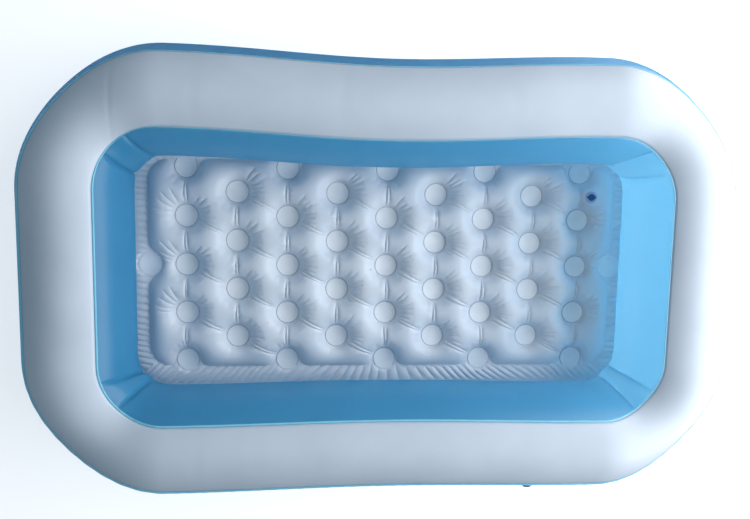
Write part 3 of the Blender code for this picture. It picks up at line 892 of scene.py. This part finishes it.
def blown_height(even_x, even_y, step, start, rounds):
    """Height of the film on an even grid, in units of the lift."""
    inner = spot_distance(even_x, even_y, inside_spots)[0]
    away = np.minimum(inner, rim_distance(even_x, even_y))
    limit = np.maximum(away, 0) * RIM_SLOPE
    height = np.zeros(away.shape) if start is None else start(even_x, even_y)
    return relax(height, limit, step**2 / 4, rounds)


def even_grid(step):
    x = np.arange(-FINE_X, FINE_X + step / 2, step)
    y = np.arange(-FINE_Y, FINE_Y + step / 2, step)
    return np.meshgrid(x, y, indexing="ij")


def reader(height, step):
    """A function that reads an even grid's height between its points."""

    def read(x, y):
        across = np.clip((x + FINE_X) / step, 0, height.shape[0] - LAST_CELL)
        along = np.clip((y + FINE_Y) / step, 0, height.shape[1] - LAST_CELL)
        i, j = across.astype(int), along.astype(int)
        u, v = across - i, along - j
        low = height[i, j] * (1 - u) + height[i + 1, j] * u
        high = height[i, j + 1] * (1 - u) + height[i + 1, j + 1] * u
        return low * (1 - v) + high * v

    return read


coarse_step = FINE * COARSER
coarse_height = blown_height(*even_grid(coarse_step), coarse_step, None, COARSE_ROUNDS)
fine_height = blown_height(
    *even_grid(FINE), FINE, reader(coarse_height, coarse_step), FINE_ROUNDS
)
read_height = reader(fine_height, FINE)
print("tallest blown height in units of the lift:", round(float(fine_height.max()), 6))

# %% [markdown]
# ## From soap film to vinyl
#
# Vinyl hardly stretches. A soap film is round all the way down to the weld, and
# vinyl goes up steeply from it and is flatter on top. A power below one of the
# soap film's height gives that. Round the valve the film lies flat, because the
# valve's moulded base holds it.

# %% Pillow heights
CROWN = 36 * MM
FULLNESS = 0.72
FULL_HEIGHT = 0.00131
VALVE_HEIGHT = 32.7 * MM
VALVE_PAD = 17 * MM
VALVE_BLEND = 16 * MM
FLOOR_REST = 1.3 * MM

pillow = CROWN * np.clip(read_height(plan_x, plan_y) / FULL_HEIGHT, 0, None) ** FULLNESS
pillow = np.where(free > 0, pillow, 0)
from_valve = np.hypot(plan_x - VALVE[0], plan_y - VALVE[1]) - VALVE_PAD
off_valve = np.clip(from_valve / VALVE_BLEND, 0, 1)
off_valve = off_valve**2 * (3 - 2 * off_valve)
floor_height = pillow * off_valve + (VALVE_HEIGHT - FLOOR_REST) * (1 - off_valve)
print("pillows up to", round(float(floor_height.max()) / MM, 1), "mm")

# %% [markdown]
# ## Creases between the welds
#
# Flat film can't bend two ways at once, so between the pillows it buckles. The
# buckles follow a plain pattern in the photograph, so they aren't simulated but
# laid out as lines, each with its depth:
#
# - two grooves with a ridge between them from each weld to the next one in its
#   column, further apart at the end that they start from;
# - two such grooves and a shorter one from each weld towards its neighbour at the
#   lower right, and one faint crease towards the upper right;
# - short wrinkles that fan out from every inner weld, with more next to the border.

# %% Lines of the creases
COLUMN_SIDES, COLUMN_DEPTH, COLUMN_WIDTH = (3.8 * MM, 1.6 * MM), 5.0 * MM, 1.9 * MM
SLANT_SIDES, SLANT_DEPTH, SLANT_WIDTH = (4.2 * MM, 1.9 * MM), 4.8 * MM, 1.9 * MM
FAINT_DEPTH, FAINT_WIDTH = 1.2 * MM, 2.2 * MM
FAINT_MARGIN, FAINT_BOW = 21 * MM, 2 * MM
THIRD_ASIDES = (-2.4, 2.4)
FAN_WIDTH, FAN_GAP, FAN_BOW = 1.8 * MM, 3 * MM, 0.8 * MM
ASIDE_CHANCE, DEPTH_CHANCE, BOW_CHANCE = (0.6, 1.4), (0.65, 1.2), (0.3, 1.5)
FAN_TURN_CHANCE, FAN_LENGTH_CHANCE = (-4, 4), (0.7, 1.15)
vary = np.random.default_rng(11)
creases = []


def add_crease(start, end, bow, asides, depth, width):
    """One bowed groove; asides move its two ends, and chance varies it a little."""
    way = np.subtract(end, start)
    across = np.array([-way[1], way[0]]) / np.hypot(*way)
    from_place = np.add(start, across * asides[0] * vary.uniform(*ASIDE_CHANCE))
    to_place = np.add(end, across * asides[1] * vary.uniform(*ASIDE_CHANCE))
    depth *= vary.uniform(*DEPTH_CHANCE)
    bow *= vary.uniform(*BOW_CHANCE)
    creases.append((from_place, to_place, bow, depth, width))


def add_pair(start, end, sides, depth, width):
    for side in (-1, 1):
        add_crease(start, end, side * MM, np.multiply(sides, side), depth, width)


def between(spot, other, margin):
    """The gap from one weld to another, kept a little off both."""
    way = np.subtract(other, spot)
    unit = way / np.hypot(*way)
    off = unit * (SPOT_RADIUS + margin)
    return np.add(spot, off), np.subtract(other, off)


def add_fan(spot, first_degrees, last_degrees, count, length, depth):
    """Short wrinkles that leave a weld in different directions."""
    for degrees in np.linspace(first_degrees, last_degrees, count):
        angle = math.radians(degrees + vary.uniform(*FAN_TURN_CHANCE))
        way = np.array([math.cos(angle), math.sin(angle)])
        start = np.add(spot, way * (SPOT_RADIUS + FAN_GAP))
        end = start + way * length * vary.uniform(*FAN_LENGTH_CHANCE)
        add_crease(start, end, FAN_BOW, (0, 0), depth, FAN_WIDTH)


for spot in inside_spots:
    for other in inside_spots + edge_spots:
        right = round((other[0] - spot[0]) / PITCH_X, 2)
        up = round((other[1] - spot[1]) / PITCH_Y, 2)
        start, end = between(spot, other, 0)
        if (right, up) == (0, 1) or ((right, up) == (0, -1) and other in edge_spots):
            add_pair(start, end, COLUMN_SIDES, COLUMN_DEPTH, COLUMN_WIDTH)
        elif (right, up) == (1, -0.5):
            add_pair(start, end, SLANT_SIDES, SLANT_DEPTH, SLANT_WIDTH)
            asides = np.multiply(SLANT_SIDES, vary.choice(THIRD_ASIDES))
            add_crease(start, (start + end) / 2, 0, asides, SLANT_DEPTH / 2, SLANT_WIDTH)
        elif (right, up) == (1, 0.5):
            start, end = between(spot, other, FAINT_MARGIN)
            add_crease(start, end, FAINT_BOW, (0, 0), FAINT_DEPTH, FAINT_WIDTH)

# %% Fans of the welds
# Each fan: first and last direction in degrees, how many wrinkles, length, depth.
# The fan of a notch opens by its spread to both sides of the way inward.
RIGHT_FAN = (-14, 52, 6, 40 * MM, 2.6 * MM)
LEFT_FAN = (195, 245, 3, 24 * MM, 0.9 * MM)
BACK_FAN = (60, 170, 8, 26 * MM, 2.3 * MM)
END_FAN = (122, 178, 5, 50 * MM, 2.6 * MM)
CORNER_FAN = (-75, 12, 9, 40 * MM, 2.6 * MM)
FRONT_FAN = (-130, -50, 5, 22 * MM, 1.2 * MM)
NOTCH_SPREAD, NOTCH_FAN = 55, (6, 20 * MM, 1.4 * MM)

for spot in inside_spots:
    column = round((spot[0] - FLOOR_X) / PITCH_X)
    row = (spot[1] - FLOOR_Y) / PITCH_Y
    add_fan(spot, *RIGHT_FAN)
    add_fan(spot, *LEFT_FAN)
    if row == TOP_ROW:
        add_fan(spot, *BACK_FAN)
    if column == -END_COLUMN:
        add_fan(spot, *END_FAN)
    if row == BOTTOM_ROW and column == END_COLUMN - 1:
        add_fan(spot, *CORNER_FAN)
    elif row == BOTTOM_ROW:
        add_fan(spot, *FRONT_FAN)
for spot in edge_spots[:-2]:
    inward = 90 if spot[1] < FLOOR_Y else -90
    add_fan(spot, inward - NOTCH_SPREAD, inward + NOTCH_SPREAD, *NOTCH_FAN)
print(len(creases), "creases")

# %% [markdown]
# Each line is pressed into the height grid, only where it lies, as a groove that
# fades out at both ends. Round each weld the plate has left a sharp little trench
# and, inside it, a thin bead of film that it squeezed out.

# %% Press the creases
BEAD_HEIGHT, BEAD_WIDTH, BEAD_INSET = 1.3 * MM, 1.3 * MM, 3.2 * MM
TRENCH, TRENCH_WIDTH = 3.0 * MM, 1.5 * MM
WINDOW = 12 * MM
FADE_POWER = 4
CREASE_FADE = 3 * MM


def press(height, start, end, bow, depth, width):
    """Presses one groove into the part of the grid that it crosses."""
    low, high = np.minimum(start, end) - WINDOW, np.maximum(start, end) + WINDOW
    i0, i1 = np.searchsorted(line_x, (low[0], high[0]))
    j0, j1 = np.searchsorted(line_y, (low[1], high[1]))
    x, y = plan_x[i0:i1, j0:j1] - start[0], plan_y[i0:i1, j0:j1] - start[1]
    way = end - start
    length = math.hypot(*way)
    along = np.clip((x * way[0] + y * way[1]) / length**2, 0, 1)
    aside = (y * way[0] - x * way[1]) / length - bow * np.sin(np.pi * along)
    fade = 1 - np.abs(2 * along - 1) ** FADE_POWER
    height[i0:i1, j0:j1] -= depth * fade * groove(aside, width)


dents = np.zeros(plan_x.shape)
for crease in creases:
    press(dents, *crease)
dents *= np.clip(free / CREASE_FADE, 0, 1) * off_valve
spot_away = np.minimum(inner_away, edge_away)
dents -= TRENCH * groove(spot_away - TRENCH_WIDTH, TRENCH_WIDTH)
bead = BEAD_HEIGHT * groove(spot_away + BEAD_INSET, BEAD_WIDTH)
floor_height = np.maximum(floor_height + dents, 0) + bead
print("deepest crease", round(float(-dents.min()) / MM, 1), "mm")

# %% [markdown]
# ## Pleats of the flange
#
# Outside the cushion the floor film runs on flat to the ring. The cushion has
# pulled it in, so there is too much of it round the border and it stands up in
# low pleats. They slant along the long sides and are square to the short ones,
# and the welds in the border, pressed flat, have none.

# %% Raise the pleats
PLEAT_HEIGHT = 6.5 * MM
PLEAT_REACH = 44 * MM
PLEAT_LENGTH_SIDES, PLEAT_LENGTH_ENDS = 22 * MM, 16 * MM
PLEAT_SLANT = 1.3
PLEAT_FADE = 6 * MM
PLEAT_CREST, PLEAT_SWELL = 0.6, 0.7
SLANT_SOFTNESS = 0.3
# Each drifting wave: its share, how fast it runs along x and along y, its start.
DRIFT_WAVES = ((0.35, 23, 0, 1.0), (0.3, 11, 31, 0.0))
PATCH_WAVE = (0.2, 17, 9, 0.0)


def wave_height(x, y, share, along_x, along_y, start):
    return share * np.sin(x * along_x + y * along_y + start)


def pleats(x, y):
    """Broad flat pleats with a sharp valley between each two."""
    outside = np.clip(-rim_away / PLEAT_REACH, 0, 1)
    past_end = np.abs(x - FLOOR_X) - CUSHION_X > np.abs(y - FLOOR_Y) - CUSHION_Y
    drift = sum(wave_height(x, y, *wave) for wave in DRIFT_WAVES)
    slant = PLEAT_SLANT * np.clip(x / SLANT_SOFTNESS, -1, 1) * (np.abs(y - FLOOR_Y) - CUSHION_Y)
    wave = np.where(past_end, y / PLEAT_LENGTH_ENDS, (x - slant) / PLEAT_LENGTH_SIDES)
    crest = np.abs(np.sin(np.pi * (wave + drift))) ** PLEAT_CREST
    patchy = 1 - PATCH_WAVE[0] + wave_height(x, y, *PATCH_WAVE)
    off_weld = np.clip(edge_away / PLEAT_FADE, 0, 1)
    return PLEAT_HEIGHT * crest * patchy * off_weld * np.sin(np.pi * outside) ** PLEAT_SWELL


floor_height = floor_height + pleats(plan_x, plan_y)
print("pleats up to", PLEAT_HEIGHT / MM, "mm")

# %% [markdown]
# ## The floor as a mesh
#
# The grid becomes one sheet. Faces outside the flange are left out, the points
# just past its edge are drawn back onto it, and a round hole stays open under the
# valve. Faces that lie on a weld take the pressed finish. Most of the sheet is
# smooth and doesn't need so fine a grid, so a Decimate modifier joins faces there
# before the film gets its thickness.

# %% Floor mesh
VALVE_HOLE = 9.8 * MM
FACES_KEPT = 0.145


def flange_inside(x, y):
    return inside_distance(x, y, (0, 0), (FLANGE_X, FLANGE_Y), FLANGE_CORNER)


def drawn_back(x, y):
    """Points outside the flange's edge, moved onto it."""
    out = np.minimum(flange_inside(x, y), 0)
    tiny = FINE / 4
    slope_x = (flange_inside(x + tiny, y) - flange_inside(x - tiny, y)) / (2 * tiny)
    slope_y = (flange_inside(x, y + tiny) - flange_inside(x, y - tiny)) / (2 * tiny)
    return x - out * slope_x, y - out * slope_y


def floor_faces(x, y):
    """Faces to keep, and which of them are pressed flat by a weld."""
    faces = grid_faces(x.shape[0], x.shape[1], False)
    middle_x, middle_y = x.ravel()[faces].mean(1), y.ravel()[faces].mean(1)
    off_valve = np.hypot(middle_x - VALVE[0], middle_y - VALVE[1]) > VALVE_HOLE
    kept = off_valve & (flange_inside(middle_x, middle_y) > 0)
    faces, middle_x, middle_y = faces[kept], middle_x[kept], middle_y[kept]
    return faces, spot_distance(middle_x, middle_y, inside_spots + edge_spots)[0] < 0


faces, pressed = floor_faces(plan_x, plan_y)
mesh_x, mesh_y = onto_circle(
    *drawn_back(plan_x, plan_y), *VALVE, VALVE_HOLE, FINE * HOLE_SNAP_SHARE
)
points = np.stack([mesh_x, mesh_y, FLOOR_REST + floor_height], axis=-1).reshape(-1, 3)
used, faces = np.unique(faces, return_inverse=True)
faces = faces.reshape(-1, 4)
floor = film_object(
    "floor_film", points[used], faces, [FLOOR_FILM, PRESSED_WELD], -1
)
floor.data.polygons.foreach_set("material_index", pressed.astype(int))
thinner = floor.modifiers.new("fewer faces where it is smooth", "DECIMATE")
thinner.ratio = FACES_KEPT
floor.modifiers.move(1, 0)
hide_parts("floor_top_sheet")
print("floor:", len(faces), "faces,", int(pressed.sum()), "of them pressed")

# %% [markdown]
# ## What the solid model keeps
#
# The ground sheet and the two valves already have their full shape, so they stay
# and only get their finish.

# %% Finishes on the kept solids
finishes = {"ground_sheet": BLUE_GROUND}
for valve in ("floor_valve_", "ring_valve_"):
    finishes[valve + "base"] = VALVE_CLEAR
    for piece in ("stem", "stopper", "flap"):
        finishes[valve + piece] = VALVE_BLUE
for node, material in finishes.items():
    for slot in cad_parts[node].material_slots:
        slot.material = material
print("finished the kept solids")

# %% [markdown]
# ## Studio
#
# The photograph is lit by one big soft source at the right, taken here as about 30
# degrees up, and by a weaker one from above. An area lamp stands for each, and the
# sky gives a cool fill. A low card close to the right end throws light in through
# the outer wall there, which is why the right inner wall glows and the left one
# doesn't.
#
# The ground has to come out white, as in a catalogue picture, so the one that the
# camera sees glows a little and lights nothing. A second one just below it has no
# glow. It's only seen through the blue film, and sends the lamps' light up into it.

# %% Floor, lamps and sky
STAGE_SIZE = 14.0
# Each lamp: its name, place, aim and size in metres, watts and colour.
LAMPS = (
    ("window_light", (1.9, 0.2, 1.25), (0.0, 0.0, 0.2), (5.0, 1.6), 93, "f8fbff"),
    ("ceiling_light", (0.0, 0.0, 3.0), (0.0, 0.0, 0.0), (3.0, 3.0), 14, "fff9f2"),
    ("low_card", (1.3, 0.1, 0.1), (0.8, 0.0, 0.12), (2.4, 0.18), 9, "fffdf8"),
)
SKY_STRENGTH = 0.26
GROUND_GLOW = 0.55
GROUND_ROUGHNESS = 0.8
BOUNCE_DEPTH = 1 * MM


def make_ground(name, height, glow):
    """A large white square for the studio; it isn't part of the pool."""
    half = STAGE_SIZE / 2
    corners = [(-half, -half), (half, -half), (half, half), (-half, half)]
    points = [(x, y, height) for x, y in corners]
    material, shader = new_material("white_" + name)
    shader.inputs["Base Color"].default_value = linear("f4f6f8")
    shader.inputs["Roughness"].default_value = GROUND_ROUGHNESS
    shader.inputs["Emission Color"].default_value = linear("ffffff")
    shader.inputs["Emission Strength"].default_value = glow
    obj = new_object(name, points, [(0, 1, 2, 3)], [material])
    obj.visible_diffuse = False
    obj.visible_glossy = False
    return obj


def make_lamp(name, place, aim, size, watts, hex_colour):
    data = bpy.data.lights.new(name, "AREA")
    data.shape = "RECTANGLE"
    data.size, data.size_y = size
    data.energy = watts
    data.color = linear(hex_colour)[:3]
    obj = bpy.data.objects.new(name, data)
    obj.location = place
    way = Vector(aim) - Vector(place)
    obj.rotation_euler = way.to_track_quat("-Z", "Y").to_euler()
    bpy.context.scene.collection.objects.link(obj)


def make_sky():
    world = bpy.data.worlds.new("studio")
    world.use_nodes = True
    sky = world.node_tree.nodes["Background"]
    sky.inputs["Color"].default_value = linear("bee2fb")
    sky.inputs["Strength"].default_value = SKY_STRENGTH
    bpy.context.scene.world = world


seen_ground = make_ground("studio_floor", 0, GROUND_GLOW)
seen_ground.visible_transmission = False
seen_ground.visible_shadow = False
lit_ground = make_ground("bounce_floor", -BOUNCE_DEPTH, 0)
lit_ground.visible_camera = False
for lamp in LAMPS:
    make_lamp(*lamp)
make_sky()
bpy.context.scene.view_settings.view_transform = "Standard"
print(len(LAMPS), "lamps and a pale sky")
